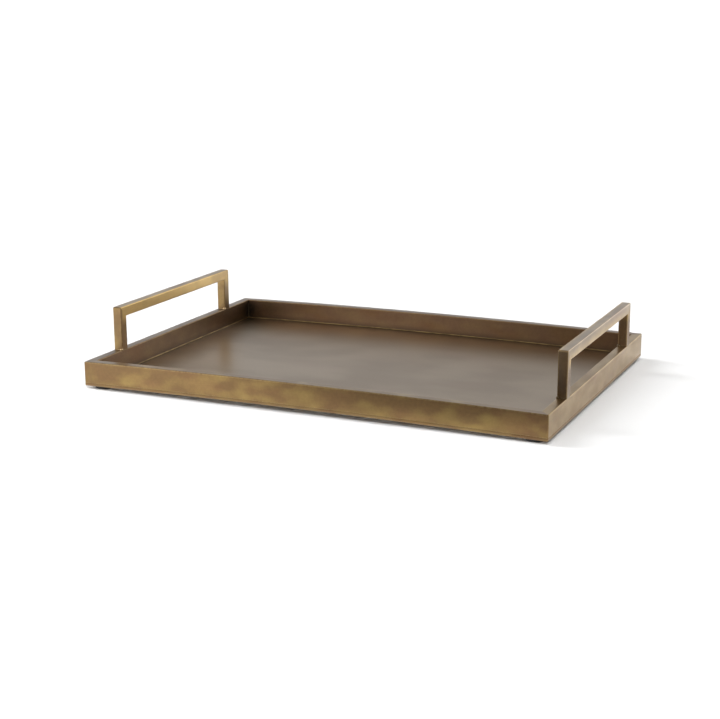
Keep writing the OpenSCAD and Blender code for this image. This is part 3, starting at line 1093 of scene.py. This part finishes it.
def make_table_glow():
    """Sheet just over the floor that only reflections see: dark in front, bright behind."""
    material, graph = glow_graph("table_glow")
    beyond = graph.vector("SUBTRACT", graph.vector("ABSOLUTE", graph.place), (HALF_L, HALF_W, 0))
    away = graph.vector("LENGTH", graph.vector("MAXIMUM", beyond, (0, 0, 0)))
    far = graph.step(away, BACKDROP_START, BACKDROP_FULL)
    far_lobes = [(a, width, graph.sum("MULTIPLY", far, by)) for a, width, by in BACKDROP_LOBES]
    light = graph.lobes(TABLE_LIGHT, [*TABLE_LOBES, *far_lobes])
    finish_glow(graph, light, graph.step(away, TABLE_START, TABLE_FULL))
    centre = (0, 0, TABLE_HEIGHT)
    only_mirrored(flat_sheet("table_glow", (FLOOR_HALF, FLOOR_HALF), material, centre))


def make_front_card():
    """Upright card that only reflections see, which shades the right half of the front."""
    material, graph = glow_graph("front_card")
    light = graph.step(graph.axis("X"), CARD_BLACK_X, CARD_BRIGHT_X, CARD_BLACK, CARD_LIGHT)
    fade = graph.step(graph.axis("Y"), CARD_HEIGHT / 2, 0.0)
    finish_glow(graph, light, fade)
    place = (0, -HALF_W - CARD_AWAY, CARD_HEIGHT / 2)
    card = flat_sheet("front_card", (CARD_HALF, CARD_HEIGHT / 2), material, place)
    card.rotation_euler.x = math.radians(90)
    only_mirrored(card)


def make_studio():
    """White floor under soft light, in a room that the metal mirrors."""
    flat_sheet("studio_floor", (FLOOR_HALF, FLOOR_HALF), matte("white_floor", FLOOR_WHITE))
    make_table_glow()
    make_front_card()
    for name, sun in SUNS.items():
        make_sun(name, *sun)
    make_world()


# ---- The whole tray ----

make_camera()
make_studio()
# Each rail, grip and post has its own tones, which are partly patina and partly painted light
rail_brass = {
    # The front rail's strong edge wear is partly a painted highlight
    "front": brass("front_rail_brass", 0, FRONT_SHIFT, FRONT_TONES, LOW_GOLD_AND_SHEEN, rub_and_highlight=0.7),
    "back": brass("back_rail_brass", 0, BACK_SHIFT, BACK_TONES, coat=0.65),
    "left": brass("left_rail_brass", 1, LEFT_SHIFT, LEFT_TONES, coat=0.7),
    "right": brass("right_rail_brass", 1, RIGHT_SHIFT, RIGHT_TONES, coat=0.5, rub_and_highlight=0.15),
}
grip_brass = {
    "left": brass("left_grip_brass", 1, GRIP_SHIFT, GRIP_TONES, coat=0.6),
    "right": brass("right_grip_brass", 1, GRIP_SHIFT, GRIP_TONES, coat=0.85, rub_and_highlight=0.2),
}
post_brass = {
    "left": brass("left_post_brass", 2, POST_SHIFT, LEFT_POST_TONES, coat=0.5),
    "right": brass("right_post_brass", 2, POST_SHIFT, RIGHT_POST_TONES, coat=0.25),
}
floor_solder = solder_brass("floor_solder", (0.27, 0.182, 0.078), (0.175, 0.117, 0.050), 8.0)
# Nearly black: dark patina, and painted shade of the inner corners
corner_solder = solder_brass("corner_solder", (0.08, 0.062, 0.030), (0.04, 0.030, 0.018), 12.0)
post_solder = {
    "left": solder_brass("left_post_solder", (0.45, 0.31, 0.16), (0.24, 0.15, 0.06), 15.0),
    "right": solder_brass("right_post_solder", (0.20, 0.14, 0.075), (0.12, 0.08, 0.042), 17.0),
}
make_plate(plate_brass())
for side_name, side_sign in SIDES.items():
    make_long_rail(side_name + "_rail", rail_brass[side_name], side_sign)
for end_name, end_sign in ENDS.items():
    make_end_rail(end_name + "_rail", rail_brass[end_name], end_sign)
    make_handle(end_name, grip_brass[end_name], post_brass[end_name])
make_feet(black_rubber(), adhesive_film())
make_floor_solder(floor_solder)
make_corner_solder(corner_solder)
make_post_solder(post_solder)
bpy.context.scene.view_settings.view_transform = "Standard"
